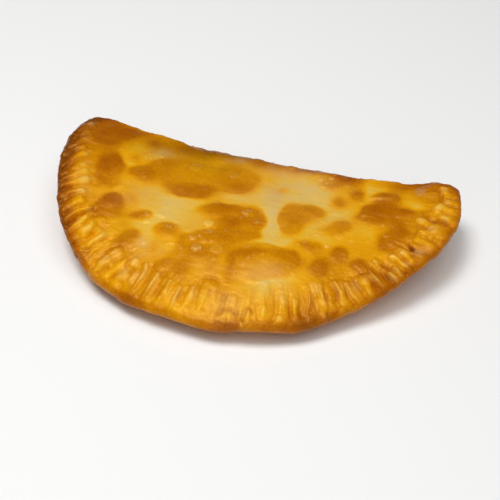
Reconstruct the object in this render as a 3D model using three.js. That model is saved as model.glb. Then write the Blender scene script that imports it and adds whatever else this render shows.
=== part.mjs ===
// A cheburek: a half-moon turnover of thin fried dough, one round of dough folded over its filling
// and sealed along the curved edge with a fork. The whole pastry is a single solid.
// Millimetres, +Z up. X runs along the fold from the left tip to the right tip, and +Y points
// from the sealed edge towards the fold. The origin lies under the middle of the outline,
// on the surface that the pastry rests on.
import * as THREE from 'three';
import { mergeVertices } from 'three/addons/utils/BufferGeometryUtils.js';

// The half-moon outline, about the centre of the dough round
const DOUGH_RADIUS = 108.5; // the sealed edge is an arc of about this radius
const FOLD_OFFSET = 25.5; // the fold lies this far behind the centre
const FOLD_WAVE = 0.6; // how far the fold strays from a straight line
const FOLD_WAVE_LENGTH = 58;
const TIP_SHARPNESS = 20; // a higher number gives tighter round tips where the arc meets the fold
const SCALLOP = 0.6; // the edge bulges between two fork marks

// Where the hand-rolled round strays from a true circle: inwards by depth, about an angle in degrees
const EDGE_DENTS = [
  { angle: 173, depth: -5, spread: 13 },
  { angle: 210, depth: -3.5, spread: 24 },
  { angle: 276, depth: 6, spread: 22 },
  { angle: 318, depth: 9.5, spread: 28 },
];

// The section, from the thin sealed edge up to the filled middle
const CROWN_THICKNESS = 24.5;
const EDGE_THICKNESS = 5.2;
const SHOULDER = 52; // distance from the sealed edge over which the filling rises
const SHOULDER_POWER = 2.2;
const EDGE_ROUND = 2.4;
const FOLD_ROUND = 12;
const EDGE_MIDDLE = 0.5; // height of the sealed edge's outermost line, as a share of the thickness there
const FOLD_MIDDLE = 0.37; // the same for the fold
const FOLD_BLEND = [0.5, 1.6]; // the edge turns into the fold between these shares of the tips' slope

// How the pastry curls off the surface
const LEFT_TIP_LIFT = 16;
const RIGHT_TIP_LIFT = 18;
const FLAT_HALF_LENGTH = 42; // the underside is flat this far either side of the middle
const EDGE_LIFT = 7;
const EDGE_LIFT_REACH = 40;

// Slow rise and fall along the sealed edge: waves in a full turn, height and phase in degrees
const EDGE_WAVES = [
  { count: 5, height: 1.5, phase: 150 },
  { count: 9, height: 0.6, phase: 40 },
];

// The fork marks
const MARK_COUNT = 48;
const MARK_DEPTH = 1.6;
const RIDGE_HEIGHT = 0.7;
const MARK_OUTER_END = 3.2; // a plain lip is left outside the marks
const MARK_INNER_END = 20;
const MARK_FADE = 4.5;
const MARK_UNEVENNESS = 0.2; // share by which the depth varies from mark to mark
const MARK_UNEVENNESS_STEP = 2.4; // radians from one mark to the next
const FRONT_STRETCH = 0.25; // marks stand wider apart along the front than at the tips
const FRONT_STRETCH_PLACE = 0.47; // share of the way round the edge, from the left tip

// Low blisters raised by the frying oil: place from the dough's centre, half sizes, turn and height
const BLISTERS = [
  { x: -80, y: -16, long: 17, wide: 13, turn: 20, height: 1.5 },
  { x: -66, y: -54, long: 15, wide: 11, turn: 35, height: 1.4 },
  { x: -33, y: -19, long: 34, wide: 15, turn: 8, height: 1.8 },
  { x: -4, y: -46, long: 28, wide: 17, turn: 25, height: 1.9 },
  { x: 22, y: -68, long: 22, wide: 15, turn: 5, height: 1.7 },
  { x: 33, y: -31, long: 17, wide: 12, turn: 40, height: 1.6 },
  { x: 71, y: -12, long: 19, wide: 11, turn: 5, height: 1.5 },
  { x: 79, y: -33, long: 12, wide: 12, turn: 0, height: 1.3 },
  { x: 53, y: -52, long: 16, wide: 10, turn: 30, height: 1.3 },
];

// Facets: columns run from the middle out to the edge, and rings go round
const COLUMNS_PER_MARK = 4;
const FOLD_COLUMNS = 32;
const TOP_RINGS = 16;
const BOTTOM_RINGS = 8;
const RING_CROWDING = 1.9; // rings crowd towards the edge
const MERGE_DISTANCE = 1e-3;

const { clamp, degToRad, euclideanModulo, lerp, smoothstep } = THREE.MathUtils;
const TURN = 2 * Math.PI;
const TIP_ANGLE = Math.asin(FOLD_OFFSET / DOUGH_RADIUS);
const EDGE_START = Math.PI - TIP_ANGLE;
const EDGE_SPAN = Math.PI + 2 * TIP_ANGLE;

// Distance from the dough's centre to the sealed edge, before the fold cuts the circle short
function sealedRadius(angle) {
  let radius = DOUGH_RADIUS;
  for (const dent of EDGE_DENTS) {
    const away = euclideanModulo(angle - degToRad(dent.angle) + Math.PI, TURN) - Math.PI;
    radius -= dent.depth * Math.exp(-((away / degToRad(dent.spread)) ** 2));
  }
  return radius;
}

// Distance of the fold behind the dough's centre, at a place along it
function foldLine(x) {
  return FOLD_OFFSET + FOLD_WAVE * Math.sin((TURN * x) / FOLD_WAVE_LENGTH);
}

// Distance from the dough's centre to the outline of the half-moon
function outlineRadius(angle, scallop) {
  const arc = sealedRadius(angle) + scallop;
  const slope = Math.sin(angle);
  if (slope <= 0) {
    return arc;
  }
  const x = clamp(FOLD_OFFSET / Math.tan(angle), -DOUGH_RADIUS, DOUGH_RADIUS);
  const arcTerm = arc ** -TIP_SHARPNESS;
  const foldTerm = (foldLine(x) / slope) ** -TIP_SHARPNESS;
  return (arcTerm + foldTerm) ** (-1 / TIP_SHARPNESS);
}

// Angle of a fork mark, counted along the edge from the left tip to the right tip
function markAngle(mark) {
  const share = mark / MARK_COUNT;
  const swing = Math.sin(TURN * (share - FRONT_STRETCH_PLACE)) + Math.sin(TURN * FRONT_STRETCH_PLACE);
  return EDGE_START + EDGE_SPAN * (share + (FRONT_STRETCH * swing) / TURN);
}

// Every column has its angle, and how far it lies into a fork mark: 1 in a groove and -1 on a ridge
function makeColumns() {
  const columns = [];
  for (let i = 0; i < MARK_COUNT * COLUMNS_PER_MARK; i++) {
    const mark = i / COLUMNS_PER_MARK;
    const strength = 1 - MARK_UNEVENNESS * Math.sin(MARK_UNEVENNESS_STEP * Math.round(mark));
    columns.push({ angle: markAngle(mark), press: Math.cos(TURN * mark) * strength });
  }
  const foldHalf = DOUGH_RADIUS * Math.cos(TIP_ANGLE);
  for (let i = 0; i < FOLD_COLUMNS; i++) {
    const x = lerp(foldHalf, -foldHalf, i / FOLD_COLUMNS);
    columns.push({ angle: Math.atan2(FOLD_OFFSET, x), press: 0 });
  }
  return columns;
}

// A groove or a ridge of the fork marks, at a distance in from the sealed edge
function forkRelief(press, fromEdge) {
  const entry = smoothstep(fromEdge, MARK_OUTER_END, MARK_OUTER_END + MARK_FADE);
  const exit = 1 - smoothstep(fromEdge, MARK_INNER_END - MARK_FADE, MARK_INNER_END + MARK_FADE);
  const relief = press > 0 ? -MARK_DEPTH * press : -RIDGE_HEIGHT * press;
  return relief * entry * exit;
}

function blisterRelief(x, y) {
  let relief = 0;
  for (const blister of BLISTERS) {
    const turn = degToRad(blister.turn);
    const dx = x - blister.x;
    const dy = y - blister.y;
    const along = (dx * Math.cos(turn) + dy * Math.sin(turn)) / blister.long;
    const across = (dy * Math.cos(turn) - dx * Math.sin(turn)) / blister.wide;
    const inside = Math.max(0, 1 - along ** 2 - across ** 2);
    relief += blister.height * inside ** 2;
  }
  return relief;
}

// Lift of the two tips, and of the sealed edge, off the surface
function curl(x, angle, fromEdge) {
  const tipLift = x < 0 ? LEFT_TIP_LIFT : RIGHT_TIP_LIFT;
  const towardsTip = clamp((Math.abs(x) - FLAT_HALF_LENGTH) / (DOUGH_RADIUS - FLAT_HALF_LENGTH), 0, 1);
  const towardsEdge = clamp(1 - fromEdge / EDGE_LIFT_REACH, 0, 1);
  let edgeLift = EDGE_LIFT;
  for (const wave of EDGE_WAVES) {
    edgeLift += wave.height * Math.sin(wave.count * angle + degToRad(wave.phase));
  }
  return tipLift * towardsTip ** 2 + edgeLift * towardsEdge ** 2;
}

// A point of the crust: inset is 0 on the outline and 1 in the middle
function crustPoint(column, inset, onTop) {
  const { angle, press } = column;
  const outline = outlineRadius(angle, -SCALLOP * press);
  const radius = outline * (1 - inset);
  const x = radius * Math.cos(angle);
  const y = radius * Math.sin(angle);
  const fromEdge = Math.max(0, sealedRadius(angle) - radius);

  // The fold closes in a wide round, the sealed edge in a tight one
  const slope = Math.sin(angle);
  const [blendStart, blendEnd] = FOLD_BLEND.map((share) => share * Math.sin(TIP_ANGLE));
  const foldness = smoothstep(slope, blendStart, blendEnd);
  const fromOutline = (outline - radius) * lerp(1, slope, foldness);
  const round = lerp(EDGE_ROUND, FOLD_ROUND, foldness);
  const closing = Math.sqrt(1 - (1 - Math.min(1, fromOutline / round)) ** 2);

  const filled = 1 - (1 - Math.min(1, fromEdge / SHOULDER)) ** SHOULDER_POWER;
  const thickness = lerp(EDGE_THICKNESS, CROWN_THICKNESS, filled);
  const middle = lerp(EDGE_MIDDLE, FOLD_MIDDLE, foldness) * thickness;
  const underside = curl(x, angle, fromEdge) + middle * (1 - closing);
  if (!onTop) {
    return new THREE.Vector3(x, y, underside);
  }
  const relief = blisterRelief(x, y) * closing + forkRelief(press, fromEdge) * (1 - foldness);
  return new THREE.Vector3(x, y, underside + thickness * closing + relief);
}

function makeCrust() {
  const columns = makeColumns();
  const rings = TOP_RINGS + BOTTOM_RINGS;
  const geometry = new THREE.SphereGeometry(1, columns.length, rings);
  const { position, uv } = geometry.attributes;
  for (let i = 0; i < position.count; i++) {
    const place = Math.round(uv.getX(i) * columns.length);
    const column = columns[euclideanModulo(place, columns.length)];
    const ring = Math.round((1 - uv.getY(i)) * rings);
    const onTop = ring <= TOP_RINGS;
    const steps = onTop ? (TOP_RINGS - ring) / TOP_RINGS : (ring - TOP_RINGS) / BOTTOM_RINGS;
    const point = crustPoint(column, steps ** RING_CROWDING, onTop);
    position.setXYZ(i, point.x, point.y, point.z);
  }
  geometry.deleteAttribute('normal');
  geometry.deleteAttribute('uv');
  const crust = mergeVertices(geometry, MERGE_DISTANCE);

  // Stand it on the origin, under the middle of its outline
  crust.computeBoundingBox();
  const middle = crust.boundingBox.getCenter(new THREE.Vector3());
  crust.translate(-middle.x, -middle.y, -crust.boundingBox.min.z);
  crust.computeVertexNormals();
  return crust;
}

const friedDough = new THREE.MeshStandardMaterial({ color: 0xd79a2e, roughness: 0.45, metalness: 0 });
const cheburek = new THREE.Mesh(makeCrust(), friedDough);
cheburek.name = 'cheburek';

const part = new THREE.Group();
part.add(cheburek);

export default part;
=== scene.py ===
import itertools
import math
import random

import bmesh
import bpy
import numpy as np
from mathutils import Matrix, Vector


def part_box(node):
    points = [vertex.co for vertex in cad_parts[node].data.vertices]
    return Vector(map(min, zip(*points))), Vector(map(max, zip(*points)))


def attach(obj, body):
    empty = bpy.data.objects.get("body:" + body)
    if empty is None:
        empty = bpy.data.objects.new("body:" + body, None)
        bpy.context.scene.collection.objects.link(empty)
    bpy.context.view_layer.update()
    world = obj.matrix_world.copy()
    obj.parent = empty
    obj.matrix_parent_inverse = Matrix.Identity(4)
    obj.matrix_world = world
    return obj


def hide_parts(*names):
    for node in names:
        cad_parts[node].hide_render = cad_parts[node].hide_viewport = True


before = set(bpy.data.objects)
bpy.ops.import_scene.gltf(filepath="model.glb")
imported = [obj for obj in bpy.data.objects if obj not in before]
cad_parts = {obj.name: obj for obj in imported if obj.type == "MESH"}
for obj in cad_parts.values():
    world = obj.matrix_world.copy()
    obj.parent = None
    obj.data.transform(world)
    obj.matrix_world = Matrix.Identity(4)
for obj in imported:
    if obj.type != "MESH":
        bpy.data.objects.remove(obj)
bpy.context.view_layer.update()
nodeLow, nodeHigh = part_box("cheburek")
mm = 0.001  # the form is worked out in millimetres and scaled to metres on the mesh
print("frame loaded, pastry box", [round(v * 1000, 1) for v in (*nodeLow, *nodeHigh)])

# camera at the photo's angle

photoView = {
    "imageSize": 500.0,  # pixels, square
    "azimuth": 15.0,  # degrees round towards the right tip
    "elevation": 41.5,
    "roll": 2.27,
    "distance": 570.0,  # mm from the aim to the eye
    "aim": (7.4, -0.8, 9.0),
    "lens": 76.6,
    "sensor": 36.0,
    "clipStart": 0.01,  # metres
}


def viewAxes(view):
    turn, tilt, roll = (math.radians(view[k]) for k in ("azimuth", "elevation", "roll"))
    level = Vector((math.cos(turn), math.sin(turn), 0.0))
    back = Vector((math.sin(turn) * math.cos(tilt), -math.cos(turn) * math.cos(tilt), math.sin(tilt)))
    up = back.cross(level)
    right = level * math.cos(roll) + up * math.sin(roll)
    return right, back.cross(right), back


viewRight, viewUp, viewBack = viewAxes(photoView)
eyePoint = Vector(photoView["aim"]) + viewBack * photoView["distance"]


def makeCamera():
    data = bpy.data.cameras.new("photoCamera")
    data.lens = photoView["lens"]
    data.sensor_width = photoView["sensor"]
    data.clip_start = photoView["clipStart"]
    camera = bpy.data.objects.new("photoCamera", data)
    turned = Matrix((viewRight, viewUp, viewBack)).transposed().to_4x4()
    camera.matrix_world = Matrix.Translation(eyePoint * mm) @ turned
    bpy.context.scene.collection.objects.link(camera)
    bpy.context.scene.camera = camera


def photoPixels(points):
    fromEye = points - np.array(eyePoint)
    depth = -(fromEye @ np.array(viewBack))
    focal = photoView["lens"] / photoView["sensor"] * photoView["imageSize"]
    half = photoView["imageSize"] / 2
    across = half + focal * (fromEye @ np.array(viewRight)) / depth
    down = half - focal * (fromEye @ np.array(viewUp)) / depth
    return np.stack([across, down], 1)


makeCamera()
print("camera set")

# the pastry's form: a dough round folded over, sealed along the curved side

crustForm = {
    "doughRadius": 108.5,
    "foldOffset": 25.5,  # fold line behind the dough's centre
    "foldWave": 0.6,
    "foldWaveLength": 58.0,
    "tipSharpness": 20.0,
    # angle, inward depth and spread in degrees
    "edgeDents": [(173, -5, 13), (210, -3.5, 24), (276, 6, 22), (318, 9.5, 28)],
    "crownThickness": 24.5,
    "edgeThickness": 5.2,
    "shoulder": 52.0,  # the filling rises over this distance from the edge
    "shoulderPower": 2.2,
    "edgeRound": 2.4,
    "foldRound": 12.0,
    "edgeMiddle": 0.5,
    "foldMiddle": 0.37,
    "foldBlend": (0.5, 1.6),
    "tipLift": (16.0, 18.0),  # left, right
    "flatHalfLength": 42.0,
    "edgeLift": 7.0,
    "edgeLiftReach": 40.0,
    "edgeWaves": [(5, 1.5, 150), (9, 0.6, 40)],  # waves in a turn, height, phase in degrees
    "segments": 720,
    "rings": 96,
    "ringCrowding": 1.9,
    "skinCell": 0.62,  # size of the fine faces
    "skinSmoothing": (3, 0.5),  # rounds, strength
    "restHeight": 1.0,  # what lies lower than this keeps its height when the outline is pulled
    "underNormal": -0.25,  # faces that point down more than this are thinned out
    "underKeep": 0.15,
    "underWeight": 0.9,
}
tipAngle = math.asin(crustForm["foldOffset"] / crustForm["doughRadius"])
tiny = 1e-6  # keeps a division or a comparison safe


def smoothStep(low, high, value):
    t = np.clip((value - low) / (high - low), 0.0, 1.0)
    return t * t * (3 - 2 * t)


def blendTo(a, b, share):
    return a + (b - a) * share


def sealedRadius(angle):
    radius = np.full_like(angle, crustForm["doughRadius"])
    for place, depth, spread in crustForm["edgeDents"]:
        away = (angle - math.radians(place) + math.pi) % (2 * math.pi) - math.pi
        radius -= depth * np.exp(-((away / math.radians(spread)) ** 2))
    return radius


def outlineRadius(angle):
    arc = sealedRadius(angle)
    slope = np.maximum(np.sin(angle), tiny)
    reach = crustForm["doughRadius"]
    x = np.clip(crustForm["foldOffset"] * np.cos(angle) / slope, -reach, reach)
    wave = crustForm["foldWave"] * np.sin(2 * math.pi * x / crustForm["foldWaveLength"])
    fold = (crustForm["foldOffset"] + wave) / slope
    power = crustForm["tipSharpness"]
    return arc * (1 + (arc / fold) ** power) ** (-1 / power)


def foldShare(angle):
    start, end = (share * math.sin(tipAngle) for share in crustForm["foldBlend"])
    return smoothStep(start, end, np.sin(angle))


def edgeCurl(x, angle, fromEdge):
    flat, reach = crustForm["flatHalfLength"], crustForm["doughRadius"]
    towardsTip = np.clip((np.abs(x) - flat) / (reach - flat), 0, 1)
    tipLift = np.where(x < 0, *crustForm["tipLift"])
    lift = np.full_like(x, crustForm["edgeLift"])
    for count, height, phase in crustForm["edgeWaves"]:
        lift += height * np.sin(count * angle + math.radians(phase))
    towardsEdge = np.clip(1 - fromEdge / crustForm["edgeLiftReach"], 0, 1)
    return tipLift * towardsTip**2 + lift * towardsEdge**2


def crustPoints(angle, inset, onTop):
    outline = outlineRadius(angle)
    radius = outline * (1 - inset)
    x, y = radius * np.cos(angle), radius * np.sin(angle)
    fromEdge = np.maximum(0, sealedRadius(angle) - radius)
    fold = foldShare(angle)
    fromOutline = (outline - radius) * blendTo(1, np.sin(angle), fold)
    roundness = blendTo(crustForm["edgeRound"], crustForm["foldRound"], fold)
    closing = np.sqrt(1 - (1 - np.minimum(1, fromOutline / roundness)) ** 2)
    filled = 1 - (1 - np.minimum(1, fromEdge / crustForm["shoulder"])) ** crustForm["shoulderPower"]
    thickness = blendTo(crustForm["edgeThickness"], crustForm["crownThickness"], filled)
    middle = blendTo(crustForm["edgeMiddle"], crustForm["foldMiddle"], fold) * thickness
    z = edgeCurl(x, angle, fromEdge) + middle * (1 - closing)
    z = np.where(onTop, z + thickness * closing, z)
    return np.stack([x, y, z], 1)


def makeForm():
    bm = bmesh.new()
    bmesh.ops.create_uvsphere(
        bm, u_segments=crustForm["segments"], v_segments=crustForm["rings"], radius=1.0
    )
    ball = np.array([v.co for v in bm.verts])
    level = np.arccos(np.clip(ball[:, 2], -1, 1)) / math.pi  # 0 top, 0.5 outline, 1 underside
    inset = np.abs(1 - 2 * level) ** crustForm["ringCrowding"]
    points = crustPoints(np.arctan2(ball[:, 1], ball[:, 0]), inset, level <= 0.5 + tiny)
    low, high = points.min(0), points.max(0)
    centre = np.array((nodeLow + nodeHigh) / (2 * mm))
    shift = np.array([*(centre - (low + high) / 2)[:2], nodeLow.z / mm - low[2]])
    for v, place in zip(bm.verts, points + shift):
        v.co = place * mm
    mesh = bpy.data.meshes.new("cheburek_crust")
    bm.to_mesh(mesh)
    bm.free()
    piece = bpy.data.objects.new("cheburek_crust", mesh)
    bpy.context.scene.collection.objects.link(piece)
    return piece, shift


def applyModifiers(piece):
    graph = bpy.context.evaluated_depsgraph_get()
    made = bpy.data.meshes.new_from_object(piece.evaluated_get(graph))
    piece.modifiers.clear()
    before = piece.data
    piece.data = made
    bpy.data.meshes.remove(before)
    made.name = "cheburek_crust"
    return made


def thinUnderside(piece):
    # the underside needs fewer faces than what shows
    downward = [v.index for v in piece.data.vertices if v.normal.z < crustForm["underNormal"]]
    group = piece.vertex_groups.new(name="underside")
    group.add(downward, crustForm["underWeight"], "REPLACE")
    thin = piece.modifiers.new("thinUnderside", "DECIMATE")
    thin.vertex_group = group.name
    thin.ratio = 1 - (1 - crustForm["underKeep"]) * len(downward) / len(piece.data.vertices)
    applyModifiers(piece)
    piece.vertex_groups.clear()


def refineSkin(piece):
    remesh = piece.modifiers.new("fineSkin", "REMESH")
    remesh.mode = "VOXEL"
    remesh.voxel_size = crustForm["skinCell"] * mm
    fine = applyModifiers(piece)
    bm = bmesh.new()
    bm.from_mesh(fine)
    rounds, strength = crustForm["skinSmoothing"]
    for _ in range(rounds):
        bmesh.ops.smooth_vert(
            bm, verts=bm.verts, factor=strength, use_axis_x=True, use_axis_y=True, use_axis_z=True
        )
    bmesh.ops.recalc_face_normals(bm, faces=bm.faces)
    bm.to_mesh(fine)
    bm.free()


crust, doughCentre = makeForm()
refineSkin(crust)
thinUnderside(crust)
print("crust skin has", len(crust.data.polygons), "faces")

# small pulls that bring the outline onto the photo's: pixel, pull in pixels, reach in mm

outlinePulls = {
    "left corner": ((80, 130), (-2, -5), 10),
    "fold end": ((98, 122), (0, -3), 9),
    "fold bulge": ((118, 125), (1, -2), 8),
    "left shoulder": ((66, 158), (-6, -4), 13),
    "left tip": ((60, 180), (-3, -2), 12),
    "left low": ((61, 212), (-1, 1), 10),
    "left corner low": ((73, 143), (-4, -3), 8),
    "fold left": ((180, 145), (0, -4), 16),
    "fold middle": ((255, 162), (0, -4), 18),
    "fold right": ((332, 177), (0, -4), 20),
    "fold far right": ((372, 182), (0, -2), 14),
    "right tip": ((446, 191), (0, -6), 15),
    "right tip low": ((455, 223), (2, 4), 10),
    "right tip end": ((458, 205), (2, 0), 10),
    "right low": ((440, 247), (1, 3), 10),
    "front left": ((160, 319), (0, -3), 20),
    "front middle": ((212, 326), (0, 3), 12),
    "front right": ((338, 319), (0, -4), 16),
}


def pullOutline(points):
    pixels = photoPixels(points)
    size = photoView["distance"] * photoView["sensor"] / (photoView["lens"] * photoView["imageSize"])
    moved = points.copy()
    for pixel, (right, down), reach in outlinePulls.values():
        pinned = points[np.argmin(((pixels - pixel) ** 2).sum(1))]
        near = np.exp(-((points - pinned) ** 2).sum(1) / reach**2)
        pull = np.array(viewRight * right - viewUp * down) * size
        moved += near[:, None] * pull
    resting = points[:, 2] < crustForm["restHeight"]
    moved[:, 2] = np.where(resting, points[:, 2], np.maximum(moved[:, 2], 0))
    return moved


def readSkin(piece):
    count = len(piece.data.vertices)
    flat = np.empty(count * 3, np.float32)
    piece.data.vertices.foreach_get("co", flat)
    formed = flat.reshape(-1, 3).astype(float) / mm
    local = formed - doughCentre
    angle = np.arctan2(local[:, 1], local[:, 0])
    points = pullOutline(formed)
    piece.data.vertices.foreach_set("co", (points * mm).astype(np.float32).ravel())
    piece.data.update()
    piece.data.vertices.foreach_get("normal", flat)
    return {
        "points": points,
        "normals": flat.reshape(-1, 3).astype(float),
        "local": local,
        "angle": angle,
        "fromEdge": sealedRadius(angle) - np.hypot(local[:, 0], local[:, 1]),
        "fromFold": crustForm["foldOffset"] - local[:, 1],
        "fold": foldShare(angle),
        "pixels": photoPixels(points),
    }


skin = readSkin(crust)
# how far the skin is turned: up, out of the photo's sight, and clearly into it
skinTurn = {"top": (-0.05, 0.35), "hidden": (0.1, -0.15), "seenToEye": 0.05, "seenUp": -0.1}
skinUp = skin["normals"][:, 2]
skinToEye = skin["normals"] @ np.array(viewBack)
topSide = smoothStep(*skinTurn["top"], skinUp)
hidden = smoothStep(*skinTurn["hidden"], skinToEye)
noiseLattice = {"side": 32, "seedShift": 1.7}


def blank():
    return np.zeros(len(skinUp))


def noiseAt(spots, seed, octaves):
    # smooth lattice noise, about -0.7 to 0.7
    side = noiseLattice["side"]
    lattice = np.random.RandomState(seed).uniform(-1, 1, side**3)
    total = np.zeros(len(spots))
    for octave in range(octaves):
        scaled = spots.T * 2**octave + seed * noiseLattice["seedShift"]
        cell = np.floor(scaled).astype(int)
        part = scaled - cell
        part = part * part * (3 - 2 * part)
        ends = [((1 - p, c % side), (p, (c + 1) % side)) for p, c in zip(part, cell)]
        for (wx, x), (wy, y), (wz, z) in itertools.product(*ends):
            total += wx * wy * wz * lattice[(x * side + y) * side + z] / 2**octave
    return total


def cloud(size, seed, octaves=2):
    return noiseAt(skin["points"] / size, seed, octaves)


def clouds(*layers):
    # each layer is its strength, size in mm, seed and octaves
    return sum(strength * cloud(size, seed, octaves) for strength, size, seed, octaves in layers)


def patches(middle, swing, size, seed, least, most):
    return np.clip(middle + swing * cloud(size, seed), least, most)


def strayed(by, size, seeds):
    # mm of stray, size of its waves in mm, a seed for each direction
    return [by * cloud(size, seed) for seed in seeds]


# flat directions in the picture: across, and away from the viewer
levelRight = np.array(viewBack.cross(Vector((0, 0, 1))).normalized()) * -1
levelAway = np.array(Vector((0, 0, 1)).cross(Vector(levelRight)).normalized())
seenFromPhoto = (skinToEye > skinTurn["seenToEye"]) & (skinUp > skinTurn["seenUp"])
seenIndex = np.nonzero(seenFromPhoto)[0]


def pinVertex(pixel):
    # the place on the crust that shows at a pixel of the photo
    gaps = skin["pixels"][seenIndex] - np.array(pixel, float)
    return seenIndex[np.argmin((gaps**2).sum(1))]


def pinPoint(pixel):
    return skin["points"][pinVertex(pixel)]


# ovals are bent by a slow wander of the skin, so that none looks drawn
wander = {  # for each direction: mm of stray, size of its waves, seed, octaves
    "across": [(2.6, 17.0, 31, 1), (0.9, 5.5, 32, 1)],
    "away": [(2.6, 17.0, 33, 1), (0.9, 5.5, 34, 1)],
}
skinWander = np.stack([*(clouds(*layers) for layers in wander.values()), blank()], 1)


def spotDistance(pixel, halfWidth, halfDepth, turn):
    # 0 in the middle of an oval lying on the crust, 1 on its edge
    bent = skin["points"] + skinWander
    away = bent - bent[pinVertex(pixel)]
    across, along = away @ levelRight, away @ levelAway
    c, s = math.cos(math.radians(turn)), math.sin(math.radians(turn))
    u = (across * c + along * s) / halfWidth
    v = (along * c - across * s) / halfDepth
    upright = away[:, 2] / (2 * max(halfWidth, halfDepth))
    return np.sqrt(u**2 + v**2 + upright**2)


# pressed edge as the photo shows it, from the left tip round the front to the right tip
# pixels along the stroke from its inner end out, half width and height in mm, change of tone: painted light
# on the pillows and pleat ridges, painted shade in the grooves

edgePillows = {
    "left a": ([(97, 123), (88, 126), (82, 129)], 2.2, 0.9, -0.05),
    "left b": ([(92, 131), (84, 133), (77, 136)], 1.7, 0.9, -0.06),
    "left c": ([(89, 138), (81, 142), (72, 146)], 2.1, 1.2, -0.10),
    "left d": ([(87, 145), (80, 149), (69, 153)], 1.9, 1.1, -0.10),
    "left e": ([(88, 152), (82, 156), (68, 162)], 2.5, 1.4, -0.14),
    "left f": ([(89, 163), (78, 167), (66, 171)], 2.4, 1.2, -0.06),
    "left 1": ([(92, 170), (80, 173), (65, 178)], 2.3, 1.4, -0.12),
    "left 2": ([(93, 179), (82, 181), (64, 185)], 2.8, 1.8, -0.14),
    "left 3": ([(89, 190), (78, 192), (63, 195)], 2.4, 1.4, -0.10),
    "left 4": ([(88, 199), (80, 202), (66, 209)], 2.9, 1.9, -0.16),
    "left 5": ([(95, 205), (86, 209), (74, 214), (65, 220)], 2.4, 1.5, -0.10),
    "left 6": ([(91, 215), (84, 220), (70, 232)], 2.1, 1.6, -0.15),
    "left 7": ([(97, 222), (88, 230), (76, 240)], 3.4, 2.0, -0.12),
    "left 8": ([(110, 234), (102, 239), (92, 245), (80, 251)], 2.3, 2.0, -0.12),
    "left 9": ([(106, 242), (97, 249), (86, 257)], 1.8, 0.9, -0.06),
    "left 10": ([(117, 255), (108, 259)], 2.4, 1.6, -0.15),
    "left 10 low": ([(107, 261), (95, 270)], 2.7, 1.7, -0.07),
    "left 11": ([(129, 257), (125, 263), (113, 271), (106, 277)], 2.0, 1.8, -0.12),
    "left 12": ([(136, 262), (131, 268)], 2.5, 1.6, -0.15),
    "left 12 low": ([(126, 273), (114, 284)], 2.8, 1.4, -0.04),
    "left 13": ([(137, 275), (126, 288)], 2.6, 0.9, -0.02),
    "front 5": ([(206, 287), (205, 300), (204, 308)], 2.4, 0.7, -0.12),
    "front 6": ([(213, 288), (212, 300)], 1.8, 0.6, -0.08),
    "front 7": ([(262, 284), (263, 300)], 2.2, 0.6, -0.10),
    "lip wide gleam": ([(229, 312), (228, 319)], 0.8, 0.3, -0.08),
    "lip tall gleam": ([(247, 311), (246, 317)], 0.8, 0.3, -0.10),
    "lip square bar": ([(265, 307), (266, 315)], 1.0, 0.5, -0.16),
    "lip drip": ([(241, 324), (241, 327)], 1.0, 0.8, -0.20),
    "lip knob": ([(281, 318), (282, 324)], 1.5, 0.8, -0.12),
    "lip knob right": ([(323, 315), (325, 319)], 1.2, 0.8, -0.14),
    "front 8": ([(281, 293), (283, 303), (285, 315)], 2.1, 1.0, -0.06),
    "front 9": ([(295, 296), (294, 304), (295, 314)], 1.9, 1.1, -0.12),
    "front 10": ([(315, 287), (315, 303)], 2.7, 1.1, 0.04),
    "front bump 11": ([(322, 302), (324, 309)], 1.7, 1.0, -0.12),
    "front 12": ([(341, 285), (347, 299)], 2.3, 0.9, 0.02),
    "front bump 13": ([(342, 302), (343, 308)], 1.9, 1.1, -0.12),
    "front 14": ([(355, 284), (362, 299)], 2.7, 0.9, 0.02),
    "right oval 14": ([(366, 282), (367, 289)], 2.7, 1.2, -0.16),
    "right 19": ([(389, 256), (395, 260), (402, 266)], 2.1, 1.5, -0.14),
    "right 20": ([(399, 252), (403, 255), (410, 261)], 1.8, 1.4, -0.16),
    "right 21": ([(411, 239), (417, 243), (430, 248)], 2.1, 1.5, -0.14),
    "right 22": ([(416, 232), (421, 235), (430, 239)], 2.3, 1.5, -0.14),
    "right 23": ([(423, 223), (427, 226)], 2.5, 1.3, -0.14),
    "right 24": ([(431, 231), (442, 235)], 2.9, 1.2, -0.06),
    "right 25": ([(404, 264), (412, 270)], 2.2, 0.9, 0.0),
    "right 26": ([(417, 256), (426, 259)], 2.0, 0.8, 0.0),
    "tip ridge": ([(433, 214), (437, 211), (441, 208), (450, 211)], 2.0, 1.4, -0.14),
    "tip pillow": ([(442, 220), (453, 223)], 2.3, 1.2, -0.08),
    "tip light": ([(444, 191), (446, 197)], 2.1, 0.8, -0.12),
    "tip low": ([(446, 202), (456, 204)], 1.6, 0.7, -0.06),
    "bar crease": ([(368, 200), (380, 200), (391, 200)], 0.8, 0.5, -0.10),
    "long crease": ([(354, 214), (368, 217), (381, 220)], 0.6, 0.3, -0.04),
}

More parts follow.
